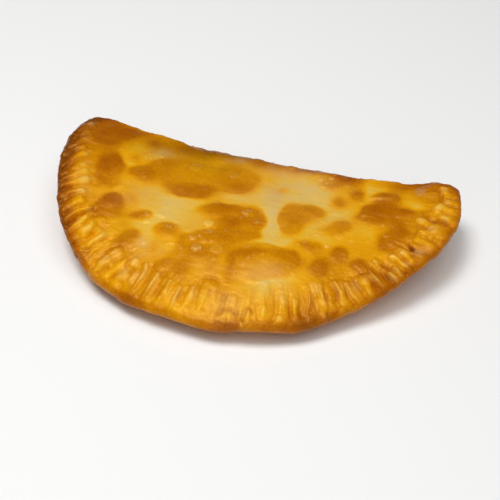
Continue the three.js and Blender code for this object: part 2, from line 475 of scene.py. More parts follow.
# pleats: steep towards the middle of the front, sloping off away from it
edgePleats = {
    "front 1": ([(149, 261), (148, 268), (143, 277), (136, 287)], 1.1, 1.7, -0.18),
    "front 2": ([(160, 271), (156, 280), (151, 287), (144, 297)], 1.1, 1.6, -0.15),
    "front 3": ([(173, 279), (168, 288), (162, 299)], 1.5, 1.7, -0.18),
    "front 4": ([(182, 283), (180, 290), (175, 298), (171, 308)], 1.2, 1.6, -0.15),
    "front 5": ([(195, 284), (192, 296), (190, 303)], 1.1, 0.9, -0.14),
    "front 9": ([(305, 282), (307, 290), (309, 299), (308, 314)], 1.2, 1.4, -0.16),
    "front 10": ([(318, 283), (320, 292), (324, 303)], 1.2, 1.2, -0.16),
    "front 12": ([(331, 280), (335, 286), (338, 294), (343, 305)], 1.2, 1.5, -0.14),
    "front 13": ([(344, 280), (348, 289), (352, 296), (358, 305)], 1.1, 1.6, -0.18),
    "right 15": ([(366, 269), (370, 275), (376, 281), (384, 290)], 1.1, 1.5, -0.12),
    "right 16": ([(371, 262), (376, 264), (378, 267)], 1.1, 1.0, -0.12),
    "right 17": ([(388, 273), (392, 278), (397, 284)], 1.2, 1.2, -0.08),
    "right 18": ([(391, 268), (396, 271), (402, 278)], 1.1, 1.1, -0.10),
}

edgeGrooves = {
    "left a": ([(98, 127), (88, 129), (78, 133)], 1.0, 0.8, 0.12),
    "left b": ([(94, 132), (86, 135), (73, 140)], 1.0, 0.9, 0.14),
    "left c": ([(89, 142), (80, 146), (68, 149)], 1.0, 1.0, 0.16),
    "left d": ([(87, 148), (78, 152), (66, 156)], 1.0, 1.0, 0.16),
    "left e": ([(89, 157), (80, 160), (71, 163), (63, 167)], 1.1, 1.2, 0.18),
    "left f": ([(88, 168), (76, 171), (62, 175)], 0.9, 0.5, 0.06),
    "left 1": ([(87, 175), (76, 178), (62, 182)], 1.0, 1.1, 0.16),
    "left 2": ([(93, 184), (84, 186), (72, 187), (60, 190)], 1.0, 1.3, 0.18),
    "left 3": ([(91, 192), (82, 194), (72, 196), (61, 201)], 1.0, 1.1, 0.16),
    "left 4": ([(89, 204), (78, 207), (70, 211), (63, 217)], 1.1, 1.3, 0.18),
    "left 5": ([(95, 210), (85, 213), (80, 218), (66, 226)], 1.1, 1.3, 0.18),
    "left 6": ([(94, 217), (85, 224), (71, 234)], 1.0, 1.2, 0.16),
    "left 7": ([(100, 225), (94, 233), (88, 238), (74, 244)], 1.0, 1.2, 0.20),
    "left 8": ([(108, 239), (100, 244), (90, 249), (76, 258)], 1.1, 1.5, 0.26),
    "left 9": ([(118, 247), (110, 251), (104, 257), (92, 268)], 1.0, 1.5, 0.25),
    "left 10": ([(121, 257), (113, 264), (100, 274)], 1.0, 1.3, 0.21),
    "left 11": ([(134, 258), (129, 262), (124, 267), (110, 279)], 1.0, 1.3, 0.25),
    "left 12": ([(140, 262), (134, 270), (120, 286)], 1.0, 1.2, 0.18),
    "front 1": ([(140, 290), (148, 279), (154, 266)], 1.7, 0.9, 0.17),
    "front 2": ([(151, 298), (160, 284), (165, 274)], 1.7, 0.9, 0.17),
    "front 3": ([(167, 304), (174, 292), (178, 281)], 1.5, 0.8, 0.15),
    "front 4": ([(183, 289), (181, 294), (178, 300)], 0.9, 1.2, 0.20),
    "front arch 5": (
        [(193, 307), (196, 292), (200, 280), (208, 277), (216, 279), (219, 285)], 1.2, 0.8, 0.13
    ),
    "front arch 6": ([(223, 299), (227, 294), (234, 293), (240, 297)], 1.0, 0.5, 0.08),
    "lip first": ([(182, 316), (183, 310), (187, 307), (191, 310), (192, 316)], 0.9, 0.4, 0.16),
    "lip second": ([(196, 318), (198, 312), (203, 309), (207, 312), (209, 318)], 0.9, 0.4, 0.16),
    "lip wide": (
        [(235, 321), (236, 314), (230, 309), (222, 310), (217, 315), (217, 321), (224, 325)], 1.1, 0.6, 0.28
    ),
    "lip tall": (
        [(252, 322), (252, 314), (248, 308), (243, 312), (241, 318), (242, 323)], 1.1, 0.6, 0.28
    ),
    "lip square": (
        [(271, 318), (270, 307), (263, 303), (257, 304), (256, 311), (258, 318)], 1.2, 0.6, 0.26
    ),
    "lip left": ([(152, 300), (154, 295), (159, 294), (162, 298)], 0.8, 0.4, 0.16),
    "lip 6": ([(272, 306), (275, 318)], 1.3, 1.0, 0.16),
    "front 7": ([(277, 291), (279, 304)], 1.2, 0.9, 0.10),
    "front 8": ([(288, 296), (290, 316)], 1.2, 0.9, 0.12),
    "front 9": ([(301, 296), (301, 315)], 1.3, 0.9, 0.10),
    "front 10": ([(310, 287), (311, 297), (310, 313)], 1.1, 1.1, 0.18),
    "front 11": ([(324, 286), (326, 299), (328, 313)], 1.1, 1.0, 0.14),
    "front 12": ([(332, 284), (335, 293), (339, 306)], 1.1, 1.3, 0.24),
    "front 13": ([(343, 283), (348, 293), (355, 305)], 1.1, 1.4, 0.26),
    "front pit": ([(343, 278), (343, 280)], 0.7, 1.2, 0.28),
    "front 14": ([(354, 280), (361, 291), (368, 299)], 1.0, 0.6, 0.10),
    "right 15": ([(365, 274), (371, 281), (376, 287), (384, 293)], 1.1, 0.9, 0.14),
    "right 16": ([(379, 265), (386, 267), (391, 271)], 1.0, 1.1, 0.20),
    "right 17": ([(382, 271), (388, 279), (394, 287)], 1.1, 1.1, 0.18),
    "right 19": ([(391, 262), (397, 266), (407, 274)], 1.1, 1.3, 0.22),
    "right 20": ([(398, 257), (405, 262), (415, 268)], 1.1, 1.1, 0.18),
    "right 21": ([(411, 243), (420, 247), (433, 252)], 1.0, 1.2, 0.20),
    "right 22": ([(413, 236), (421, 239), (436, 243)], 1.0, 1.1, 0.18),
    "right 23": ([(421, 228), (430, 231)], 1.0, 0.8, 0.12),
    "right 24": ([(434, 239), (444, 242)], 1.0, 0.7, 0.10),
    "tip fold": ([(424, 212), (427, 217), (431, 221), (442, 223), (455, 229)], 1.1, 1.7, 0.28),
    "tip groove": ([(445, 204), (452, 206), (459, 208)], 1.0, 1.0, 0.20),
    "tip line": ([(444, 199), (459, 199)], 0.8, 0.8, 0.16),
    "tip end": ([(447, 214), (457, 216)], 0.9, 0.8, 0.12),
    "tip dome edge": ([(438, 189), (442, 196), (443, 203)], 1.0, 0.8, 0.14),
    "slit": ([(410, 247), (413, 250)], 0.8, 2.0, 1.6),
    "slit tail": ([(414, 251), (421, 255)], 0.8, 1.2, 0.30),
    "fold wrinkle": ([(145, 153), (158, 152), (172, 155)], 0.9, 0.4, 0.12),
}

edgePress = {
    "middlePixel": 240,  # the pleats lean away from this side to side
    "clear": 9.0,  # no stroke reaches further than this
    "stray": (0.7, 5.0, (54, 55)),  # mm that a stroke strays from its line, size of the waves, seeds
    "outerPart": (0.5, 1.0),  # share of the length over which a stroke weakens
    "pillowReach": 1.75,  # times the half width
    "pillowRise": 1.05,
    "pillowStart": (0.25, 0.25),  # strength at the inner end, and where along it is full
    "pillowDrop": 0.5,  # strength lost at the outer end
    "pillowGleam": (0.3, 0.8),  # where along the shine fades out
    "gleamSharpness": 4,
    "shortShine": 0.8,  # a pillow of two points shines at least this much
    "pleatSteep": 1.3,  # reach of the steep side, times the half width
    "pleatSlope": 6.5,  # and of the sloping side
    "pleatCurve": 1.6,
    "pleatRise": 0.95,
    "pleatStart": (0.0, 0.15),
    "pleatDrop": 0.4,
    "pleatSlopeDarker": 0.05,  # the sloping side is painted darker than the ridge
    "ridgeWidth": 0.8,  # times the half width
    "ridgeStart": (0.0, 0.2),
    "ridgeEnd": (0.6, 1.0),  # where along the ridge fades out
    "ridgeShine": 1.2,
    "grooveReach": 1.1,
    "grooveSharpness": 1.5,
    "grooveDepth": 0.95,
    "grooveStart": (0.4, 0.4),
    "grooveDrop": 0.4,
    # the grooves are painted darker, as shade
    "grooveTone": 0.8,
    "leftGain": (112, 1.3),  # strokes that start left of this pixel are pressed deeper
    "rightGain": (355, 1.45),  # and right of this one
    # scales the painted light on the pillows and ridges and the painted shade in the grooves
    "toast": 1.1,
    "paintedHighlight": 0.30,  # strength of the painted highlight on the crests
    "dullFrom": (285, 330),  # pixels across between which the crests lose their shine
    "dullTo": (380, 400),  # and between which they get it back
    "dull": 0.5,  # share of the shine that is lost
    "calmLeft": (130, 95, 0.6),  # pixels across between which the fork's lines weaken, by what share
    # middle, swing, size in mm, seed, least and most
    "uneven": (1.0, 0.4, 5.0, 51, 0.0, 2.0),
    "patchy": (0.8, 0.8, 6.0, 56, 0.25, 1.3),
    "glint": (0.45, 1.6, 7.0, 59, 0.0, 1.3),
}
# fine lines that the fork drew through the edge, and the gathers below it, each painted paler where it
# rises and darker where it sinks, as light and shade
# the band is in mm from the edge: starts, full, fading, gone
edgeStreaks = {
    "top": {
        "pitch": 1.7,
        "length": 18.0,
        "height": 0.42,
        "toast": 0.09,
        "band": (3.0, 6.0, 16.0, 25.0),
        "seed": 52,
    },
    "under": {
        "pitch": 5.2,
        "length": 26.0,
        "height": 1.3,
        "toast": 0.12,
        "band": (0.5, 4.0, 14.0, 32.0),
        "seed": 53,
    },
}
strokePoints = skin["points"] + np.stack([*strayed(*edgePress["stray"]), blank()], 1)


def strokeField(pixels):
    # the skin near a stroke: which vertices, mm away from it, how far along it, and on its left or not
    corners = [pinPoint(p) for p in pixels]
    low, high = np.min(corners, 0) - edgePress["clear"], np.max(corners, 0) + edgePress["clear"]
    near = np.nonzero(((strokePoints > low) & (strokePoints < high)).all(1))[0]
    points, shown = strokePoints[near], skin["pixels"][near]
    lengths = [np.linalg.norm(b - a) for a, b in zip(corners, corners[1:])]
    nearest = np.full(len(near), np.inf)
    along = np.zeros(len(near))
    onLeft = np.zeros(len(near), bool)
    passed = 0.0
    for index, length in enumerate(lengths):
        start, run = corners[index], corners[index + 1] - corners[index]
        share = np.clip((points - start) @ run / (run @ run), 0, 1)
        away = np.linalg.norm(points - start - share[:, None] * run, axis=1)
        closer = away < nearest
        along = np.where(closer, (passed + share * length) / sum(lengths), along)
        (x, y), (endX, endY) = pixels[index], pixels[index + 1]
        turned = (endX - x) * (shown[:, 1] - y) - (endY - y) * (shown[:, 0] - x)
        onLeft = np.where(closer, turned > 0, onLeft)
        nearest = np.minimum(nearest, away)
        passed += length
    return near, nearest, along, onLeft


def drawStreaks(streaks):
    start, full, fading, end = streaks["band"]
    inBand = smoothStep(start, full, skin["fromEdge"]) * (1 - smoothStep(fading, end, skin["fromEdge"]))
    fromFoldMiddle = (skin["angle"] - math.pi / 2) % (2 * math.pi)
    roundEdge = fromFoldMiddle * crustForm["doughRadius"] / streaks["pitch"]
    spots = np.stack([roundEdge, skin["fromEdge"] / streaks["length"], blank()], 1)
    return noiseAt(spots, streaks["seed"], 2) * inBand * (1 - skin["fold"])


def pressGain(pixels):
    leftPixel, leftGain = edgePress["leftGain"]
    rightPixel, rightGain = edgePress["rightGain"]
    if pixels[0][0] < leftPixel:
        return leftGain
    return rightGain if pixels[0][0] > rightPixel else 1.0


def fillOut(along, start, full):
    return blendTo(start, 1, smoothStep(0.0, full, along))


def dropOff(along, drop):
    return 1 - drop * smoothStep(*edgePress["outerPart"], along)


def keepMost(field, near, values):
    field[near] = np.maximum(field[near], values)


def keepLeast(field, near, values):
    field[near] = np.minimum(field[near], values)


def pressPillows(press):
    for pixels, halfWidth, rise, tone in edgePillows.values():
        near, away, along, _ = strokeField(pixels)
        short, gain = len(pixels) == 2, pressGain(pixels)
        fade = dropOff(along, edgePress["pillowDrop"])
        if not short:
            fade *= fillOut(along, *edgePress["pillowStart"])
        reach = halfWidth * edgePress["pillowReach"] * press["uneven"][near]
        dome = np.clip(1 - (away / reach) ** 2, 0, 1)
        keepMost(press["raised"], near, edgePress["pillowRise"] * gain * rise * dome * fade)
        # the dome is painted paler, as light on its top
        keepLeast(press["paler"], near, gain * tone * dome * fade)
        # the inner end of each pillow gets a painted highlight
        innerEnd = 1 - smoothStep(*edgePress["pillowGleam"], along)
        shine = np.maximum(press["glint"][near], edgePress["shortShine"] if short else 0.0)
        gleam = dome ** edgePress["gleamSharpness"] * fade * innerEnd * shine
        keepMost(press["paintedHighlight"], near, gleam * min(1, rise))


def pressPleats(press):
    for pixels, halfWidth, rise, tone in edgePleats.values():
        near, away, along, onLeft = strokeField(pixels)
        fade = dropOff(along, edgePress["pleatDrop"])
        onSlope = onLeft == (pixels[0][0] < edgePress["middlePixel"])
        side = np.where(onSlope, edgePress["pleatSlope"], edgePress["pleatSteep"])
        reach = halfWidth * press["uneven"][near] * side
        slope = np.clip(1 - away / reach, 0, 1) ** edgePress["pleatCurve"]
        slope *= fillOut(along, *edgePress["pleatStart"])
        height = edgePress["pleatRise"] * pressGain(pixels) * rise * slope * fade
        keepMost(press["raised"], near, height)
        # the ridge is painted paler, with a painted highlight along it
        ridge = np.exp(-((away / (edgePress["ridgeWidth"] * halfWidth)) ** 2)) * press["patchy"][near]
        ridge *= fillOut(along, *edgePress["ridgeStart"]) * (1 - smoothStep(*edgePress["ridgeEnd"], along))
        keepLeast(press["paler"], near, tone * ridge)
        keepMost(press["paintedHighlight"], near, edgePress["ridgeShine"] * ridge)
        facet = np.where(onSlope, slope, 0) * (1 - ridge) * fade
        keepMost(press["darker"], near, edgePress["pleatSlopeDarker"] * facet)


def pressGrooves(press):
    for pixels, halfWidth, depth, tone in edgeGrooves.values():
        near, away, along, _ = strokeField(pixels)
        reach = halfWidth * edgePress["grooveReach"] * press["uneven"][near]
        line = pressGain(pixels) * np.exp(-((away / reach) ** edgePress["grooveSharpness"]))
        line *= fillOut(along, *edgePress["grooveStart"]) * press["patchy"][near]
        keepMost(press["sunk"], near, edgePress["grooveDepth"] * depth * line)
        # the groove is painted darker, as shade
        fade = dropOff(along, edgePress["grooveDrop"])
        keepMost(press["darker"], near, edgePress["grooveTone"] * tone * line * fade)


def pressEdge():
    press = {name: blank() for name in ("raised", "sunk", "paler", "darker", "paintedHighlight")}
    press.update({name: patches(*edgePress[name]) for name in ("uneven", "patchy", "glint")})
    pressPillows(press)
    pressPleats(press)
    pressGrooves(press)
    across = skin["pixels"][:, 0]
    dull = smoothStep(*edgePress["dullFrom"], across) - smoothStep(*edgePress["dullTo"], across)
    paintedHighlight = press["paintedHighlight"] * (1 - edgePress["dull"] * dull)
    calmFrom, calmTo, calm = edgePress["calmLeft"]
    top, under = edgeStreaks["top"], edgeStreaks["under"]
    streak = drawStreaks(top) * (1 - calm * smoothStep(calmFrom, calmTo, across))
    gather = drawStreaks(under)
    height = press["raised"] - press["sunk"] + top["height"] * streak
    # the tone here is the painted light and shade of the pressed edge, its streaks and its gathers
    toast = edgePress["toast"] * (press["paler"] + press["darker"]) - top["toast"] * streak
    height = height * topSide + under["height"] * gather * hidden
    return height, toast * topSide - under["toast"] * gather * hidden, paintedHighlight * topSide


edgeHeight, edgeLightAndShade, edgeHighlight = pressEdge()
print("edge pressed with", len(edgePillows) + len(edgePleats) + len(edgeGrooves), "strokes")

# browned blisters of the top, each pinned to where the photo shows it:
# pixel x, y, half width and half depth in mm, turn in degrees, toast, swell in mm

blisterSpots = {
    "fold left": (109, 135, 10.8, 11.5, 0, 0.73, 0.8),
    "fold left tail": (127, 134, 7.5, 6, -25, 0.71, 0.4),
    "fold left end": (139, 134, 5.0, 3.0, -10, 0.72, 0.2),
    "fold dot": (154, 144, 4.4, 4, 0, 0.60, 0.4),
    "left upper": (104, 165, 5.4, 9.8, 0, 0.73, 0.9),
    "left upper right": (117, 165, 5.0, 9.0, 0, 0.67, 0.9),
    "left middle": (111, 201, 5.6, 6.4, 20, 0.77, 1.0),
    "left middle tail": (101, 209, 6.5, 4.4, 35, 0.70, 0.4),
    "left middle low": (110, 211, 5.6, 4.6, 0, 0.57, 0.5),
    "left dot": (136, 158, 2.4, 2.4, 0, 0.48, 0.3),
    "left crumb": (102, 183, 2.4, 2.8, 0, 0.50, 0.2),
    "left crumb two": (114, 182, 3.0, 2.8, 0, 0.51, 0.2),
    "left crumb three": (125, 188, 1.6, 1.4, 0, 0.38, 0.1),
    "left crumb four": (133, 198, 1.5, 2.0, 0, 0.42, 0.1),
    "upper lobe": (143, 174, 9.4, 8.0, 0, 0.66, 0.9),
    "upper neck": (160, 169, 8.0, 6.5, 0, 0.56, 0.7),
    "upper body": (180, 171, 19, 12, -4, 0.44, 1.3),
    "upper belly": (190, 191, 14, 7.0, -8, 0.63, 0.9),
    "upper right": (232, 177, 16, 13, -6, 0.49, 0.9),
    "upper right low": (235, 188, 6, 3.4, 0, 0.60, 0.3),
    "small oval": (141, 214, 5.2, 3.8, 4, 0.56, 0.5),
    "round oval": (165, 229, 6.2, 6.2, 0, 0.51, 0.8),
    "slant oval": (127, 241, 7.4, 4.6, 40, 0.61, 0.7),
    "faint oval": (154, 249, 3.2, 4.6, 0, 0.40, 0.2),
    "arch top": (209, 281, 6.2, 3.6, 0, 0.52, 0.1),
    "crimp top left": (162, 265, 5.2, 5, 0, 0.60, 0.3),
    "crimp top mid": (182, 267, 6.5, 8, 0, 0.60, 0.2),
    "middle top": (221, 210, 14, 6.6, 0, 0.60, 1.2),
    "middle right": (251, 218, 7.8, 10, 0, 0.56, 0.8),
    "middle heart": (232, 223, 10, 7, 0, 0.62, 0.8),
    "middle low": (213, 238, 15, 6, 4, 0.55, 0.7),
    "middle low right": (241, 234, 9, 4.2, 0, 0.50, 0.4),
    "low left": (194, 250, 12, 7.5, 0, 0.52, 0.5),
    "low left band": (203, 256, 8, 2.2, 0, 0.58, 0.2),
    "low joint": (226, 252, 7, 4, 20, 0.47, 0.2),
    "low gap": (214, 265, 9, 8, 0, 0.42, 0.2),
    "big low": (262, 262, 19, 12, 0, 0.58, 1.6),
    "big low left": (230, 266, 2.6, 7, 0, 0.64, 0.2),
    "big low top": (262, 252, 13, 3.4, 0, 0.61, 0.2),
    "big low right": (290, 261, 1.8, 5.0, 0, 0.58, 0.2),
    "slant right": (307, 213, 8.6, 5.8, 0, 0.52, 1.0),
    "slant right middle": (299, 219, 6.0, 5.8, 20, 0.51, 0.8),
    "slant right low": (290, 225, 6.2, 7.8, 14, 0.54, 1.0),
    "right dot": (340, 203, 4.6, 4.8, 0, 0.58, 0.5),
    "right dot two": (357, 195, 4.4, 4.2, 0, 0.59, 0.4),
    "right bar": (385, 198, 7.2, 5.2, 3, 0.62, 0.6),
    "right bar end": (396, 198, 2.0, 4.6, 0, 0.68, 0.6),
    "right long": (377, 212, 10.5, 5.4, -3, 0.71, 0.9),
    "right long end": (401, 213, 6.4, 3.4, -6, 0.68, 0.7),
    "right long low": (372, 220, 8.4, 5.4, 0, 0.65, 0.6),
    "right hook": (399, 225, 4, 3, 0, 0.61, 0.4),
    "right low": (397, 238, 7.4, 8.4, 0, 0.70, 0.9),
    "right low left": (384, 244, 4.2, 5.4, 0, 0.62, 0.6),
    "right faint": (343, 226, 5.4, 4.4, 0, 0.50, 0.4),
    "right faint left": (333, 229, 3.6, 2.6, 0, 0.46, 0.3),
    "bubbly": (308, 246, 4.8, 3.4, -10, 0.57, 0.5),
    "bubbly tail": (317, 247, 3, 2.6, 0, 0.48, 0.3),
    "round right": (338, 255, 4.8, 5.6, 0, 0.64, 0.7),
    "front right": (319, 268, 6.8, 6.8, -10, 0.62, 0.8),
    "front far right": (358, 266, 4.8, 3.2, -8, 0.71, 0.4),
    "fold right": (346, 179, 9.5, 6.8, -8, 0.88, 0.3),
    "fold right low": (331, 186, 6, 3.4, 0, 0.52, 0.3),
    "fold tip": (408, 188, 5.4, 2.8, 0, 0.66, 0.2),
    "tip dome": (430, 191, 7.4, 6, 0, 0.64, 1.4),
}
blisterEdge = {
    "merge": 2.8,  # mm over which near blisters run together
    "inset": 0.1,  # takes back what the merging adds
    "toneBlend": 4.5,
    "softness": 2.5,  # mm over which the brown fades out
    "softPatches": (1.0, 0.9, 12.0, 41, 0.5, 1.7),  # middle, swing, size in mm, seed, least and most
    "foldSoft": (1.0, 8, 40),  # softer by this share at the fold, fading between these mm from it
    "core": (0.07, 7.0),  # extra toast this deep inside
    "swellReach": 1.15,  # times the half width
    "swellCurve": 1.2,
}
leastShare = 1e-30  # keeps the logarithm and the mean of the tones finite

# the back and underside get the same sort by chance
hiddenBlisters = {
    "count": 80,
    "halfWidth": (3.0, 10.5),
    "slim": (0.5, 1.0),
    "toast": (0.62, 0.80),
    "swell": (0.3, 1.0),
    "fromEdge": 7.0,
    "surely": 0.9,  # placed only where the skin is hidden by this share
    "seed": 77,
}


def seenSpots():
    for x, y, halfWidth, halfDepth, turn, tone, swell in blisterSpots.values():
        distance = spotDistance((x, y), halfWidth, halfDepth, turn)
        yield distance, math.sqrt(halfWidth * halfDepth), tone, swell


def hiddenSpots():
    draw = random.Random(hiddenBlisters["seed"])
    inFromEdge = skin["fromEdge"] > hiddenBlisters["fromEdge"]
    places = np.nonzero((hidden > hiddenBlisters["surely"]) & inFromEdge)[0]
    bent = skin["points"] + skinWander
    for _ in range(hiddenBlisters["count"]):
        away = bent - bent[places[draw.randrange(len(places))]]
        picks = [draw.uniform(*hiddenBlisters[k]) for k in ("halfWidth", "slim", "toast", "swell")]
        halfWidth, slim, tone, swell = picks
        distance = np.hypot(away[:, 0], np.hypot(away[:, 1], away[:, 2]) / slim) / halfWidth
        yield distance, halfWidth * math.sqrt(slim), tone, swell


def raiseBlisters(spots, where):
    joined, toned, weights, height = (blank() for _ in range(4))
    for distance, size, tone, swell in spots:
        gap = (distance - 1) * size
        joined += np.exp(-gap / blisterEdge["merge"])
        weight = np.exp(-gap / blisterEdge["toneBlend"])
        weights += weight
        toned += weight * tone
        dome = np.clip(1 - (distance / blisterEdge["swellReach"]) ** 2, 0, 1)
        height = np.maximum(height, swell * dome ** blisterEdge["swellCurve"])
    outside = blisterEdge["inset"] - blisterEdge["merge"] * np.log(np.maximum(joined, leastShare))
    foldSoft, foldNear, foldFar = blisterEdge["foldSoft"]
    soft = blisterEdge["softness"] * patches(*blisterEdge["softPatches"])
    soft *= 1 + foldSoft * (1 - smoothStep(foldNear, foldFar, skin["fromFold"]))
    inside = 1 - smoothStep(-soft, soft, outside)
    darker, depth = blisterEdge["core"]
    core = np.clip(-outside / depth, 0, 1) - 0.5  # the rim is as much paler as the middle is darker
    tone = toned / np.maximum(weights, leastShare) + darker * core
    return height * where, tone, inside * where


blisterHeight, blisterToast, blisterInside = raiseBlisters(seenSpots(), topSide)
hiddenHeight, hiddenToast, hiddenInside = raiseBlisters(hiddenSpots(), hidden)
print("blisters raised:", len(blisterSpots), "seen and", hiddenBlisters["count"], "hidden")

# small oil bubbles and dimples, in clusters:
# pixel x, y, radius and height in mm (a dimple is negative), how clear the skin is over it, which also sets
# the painted highlight on its ring

oilBubbles = {
    "glassy": [(208, 223, 3.0, 1.3, 0.60), (196, 247, 2.9, 1.3, 0.75)],
    "below the glassy one": [
        (193, 238, 1.6, 0.5, 0.55),
        (200, 237, 1.2, 0.45, 0.55),
        (208, 232, 2.0, 0.45, 0.55),
        (204, 241, 1.5, 0.4, 0.3),
        (211, 241, 1.1, 0.35, 0.25),
        (217, 236, 1.2, 0.4, 0.3),
        (226, 231, 1.0, 0.4, 0.3),
        (181, 248, 1.1, 0.45, 0.6),
        (217, 249, 3.0, 0.3, 0.25),
    ],
    "middle right": [
        (245, 213, 1.5, 0.5, 0.45),
        (251, 211, 1.6, 0.5, 0.3),
        (256, 221, 2.2, 0.5, 0.35),
        (246, 216, 1.2, 0.4, 0.45),
        (260, 213, 1.0, 0.3, 0.25),
        (264, 223, 1.6, 0.3, 0.35),
        (242, 218, 1.2, 0.3, 0.25),
    ],
    "big low": [(248, 259, 1.0, 0.5, 0.5), (263, 255, 1.2, 0.45, 0.5), (246, 246, 2.2, 0.35, 0.12)],
    "upper": [
        (196, 168, 3.8, 0.45, 0.2),
        (234, 177, 2.6, 0.4, 0.2),
        (217, 203, 1.4, 0.3, 0.4),
        (215, 184, 1.2, 0.3, 0.25),
    ],
    "left": [
        (163, 216, 1.8, 0.3, 0.4),
        (162, 213, 4.2, 0.45, 0.3),
        (169, 227, 1.5, 0.45, 0.3),
        (146, 221, 2.0, 0.4, 0.3),
        (148, 213, 1.8, 0.35, 0.25),
        (176, 221, 1.6, 0.35, 0.25),
        (111, 173, 0.9, 0.3, 0.3),
        (104, 228, 3.4, -0.6, 0.15),
        (170, 247, 3.4, -0.9, 0.1),
        (144, 245, 1.7, -0.6, 0.2),
    ],
    "fold right": [
        (322, 180, 1.5, 0.6, 0.5),
        (331, 179, 1.4, 0.6, 0.55),
        (335, 176, 1.3, 0.5, 0.3),
        (326, 183, 1.1, 0.5, 0.35),
        (323, 187, 1.2, 0.5, 0.35),
        (333, 185, 1.2, 0.45, 0.35),
        (347, 186, 1.1, 0.45, 0.35),
        (347, 179, 1.0, 0.35, 0.25),
    ],
    "right": [
        (317, 235, 1.3, 0.5, 0.5),
        (327, 246, 1.6, 0.5, 0.5),
        (304, 241, 1.5, 0.35, 0.4),
        (307, 237, 1.2, 0.3, 0.35),
        (298, 244, 1.0, 0.4, 0.35),
        (339, 236, 2.6, 0.25, 0.12),
        (282, 226, 1.1, 0.3, 0.3),
        (383, 225, 1.2, 0.5, 0.5),
        (391, 226, 1.1, 0.5, 0.45),
        (399, 217, 1.0, 0.45, 0.4),
        (409, 216, 0.9, 0.4, 0.35),
        (363, 217, 1.1, 0.4, 0.35),
        (386, 237, 1.4, 0.3, 0.3),
        (357, 273, 1.2, 0.5, 0.4),
        (351, 243, 1.8, -0.4, 0.2),
    ],
    # a row of painted glints along a wrinkle
    "fold wrinkle": [
        (146, 157, 1.1, 0.3, 0.4),
        (151, 158, 1.3, 0.35, 0.5),
        (157, 158, 1.1, 0.3, 0.4),
        (162, 157, 1.3, 0.35, 0.5),
        (168, 158, 1.0, 0.25, 0.35),
    ],
    "along the fold": [
        (293, 168, 3.0, 0.8, 0.0),
        (259, 160, 3.0, 0.5, 0.0),
        (385, 182, 2.6, 0.5, 0.0),
        (435, 184, 3.6, 0.6, 0.0),
    ],
}
# more of them anywhere, by chance
bubbleScatter = {
    "count": 560,
    "radius": (0.6, 1.7),
    "height": (0.08, 0.32),
    "clear": (0.0, 0.10),
    "seed": 21,
}
bubbleShape = {
    "reach": 2,  # in radii, as the moat and the ring are
    "rise": 0.8,
    "stray": (0.55, 2.0, (62, 63, 64)),  # mm that a rim strays from its circle, size of the waves, seeds
    "moat": (1.15, 0.2, 0.1),  # where the hollow round it lies, its width, its share of the height
    "ringMiddle": 0.15,  # strength of the pale ring in the middle
    "ringInside": (0.5, 0.85),
    "ringOutside": (0.8, 1.1),
    "ringPale": 0.7,
    # the moat round each bubble is painted darker, as shade
    "moatShade": 0.1,
    "lit": (0.9, 1.3, 2.2, 58, 0.2, 1.4),  # middle, swing, size in mm, seed, least and most
}


def raiseBubbles():
    height, clear, darker = (blank() for _ in range(3))
    lit = patches(*bubbleShape["lit"])
    stray = np.stack(strayed(*bubbleShape["stray"]), 1)
    draw = random.Random(bubbleScatter["seed"])
    spots = [(pinPoint(spot[:2]), *spot[2:]) for cluster in oilBubbles.values() for spot in cluster]
    for _ in range(bubbleScatter["count"]):
        place = skin["points"][draw.randrange(len(skinUp))]
        spots.append((place, *(draw.uniform(*bubbleScatter[k]) for k in ("radius", "height", "clear"))))
    moatPlace, moatWidth, moatDepth = bubbleShape["moat"]
    for place, radius, rise, pale in spots:
        inReach = np.abs(skin["points"] - place) < bubbleShape["reach"] * radius
        near = np.nonzero(inReach.all(1))[0]
        away = np.linalg.norm(skin["points"][near] + stray[near] - place, axis=1) / radius
        dome = np.sqrt(np.clip(1 - away**2, 0, 1))
        moat = np.exp(-(((away - moatPlace) / moatWidth) ** 2))
        height[near] += bubbleShape["rise"] * rise * dome - moatDepth * abs(rise) * moat
        ring = blendTo(bubbleShape["ringMiddle"], 1, smoothStep(*bubbleShape["ringInside"], away))
        ring *= 1 - smoothStep(*bubbleShape["ringOutside"], away)
        # the pale ring is clear skin with a painted highlight, the moat is painted darker as shade
        keepMost(clear, near, bubbleShape["ringPale"] * pale * ring * lit[near])
        keepMost(darker, near, bubbleShape["moatShade"] * pale * moat * lit[near])
    return height, clear, darker


bubbleHeight, bubbleClearAndGleam, bubbleMoatShade = raiseBubbles()
print("oil bubbles raised")

# toast over the whole crust, 0 pale to 1 dark brown, with painted light and shade added in, the pale film
# with a painted sheen in places, and the painted shade mostly along the fold

crustToast = {
    "middle": 0.15,
    "nearEdge": (0.24, 12, 42),  # toast, and the mm from the edge between which it fades
    "ends": (0.06, 55, 95),  # toast, and the mm from the middle between which it sets in
    "cloudy": (0.12, 22.0, 8, 3),  # toast, size in mm, seed, octaves
    "onBlisters": (0.07, 8.0, 9, 3),
    "lip": 0.32,
    "lipReach": (0.6, 4.8),  # mm from the edge between which it fades
    "lipUneven": (0.3, 9.0, 18, 2),
    "leftEnd": (-60, -100),  # mm across between which each end sets in
    "rightEnd": (35, 70),
    "lipAtEnds": (0.8, 0.45),  # the lip is paler by this share at the left and right ends
    "leftLip": (0.56, 0, 13),  # at the left end, as nearEdge
    "fold": (0.30, 3.0, 22),  # toast that is partly browning and partly painted shade where the skin turns away, and the mm from the fold between which it fades
    "foldUneven": (0.9, 0.5, 18.0, 17, 0.0, 2.0),  # middle, swing, size in mm, seed, least and most
    "foldOnBlisters": 0.8,  # weaker by this share on the blisters
    "hidden": 0.60,
    "hiddenCloudy": [(0.12, 16.0, 12, 3), (0.08, 5.0, 13, 2)],
    "slowDown": (0.74, 0.6),  # past this toast it darkens more slowly
    "darkest": 0.92,
    "slit": 0.9,  # only the slit is pressed darker than this, and it alone may pass the darkest
}
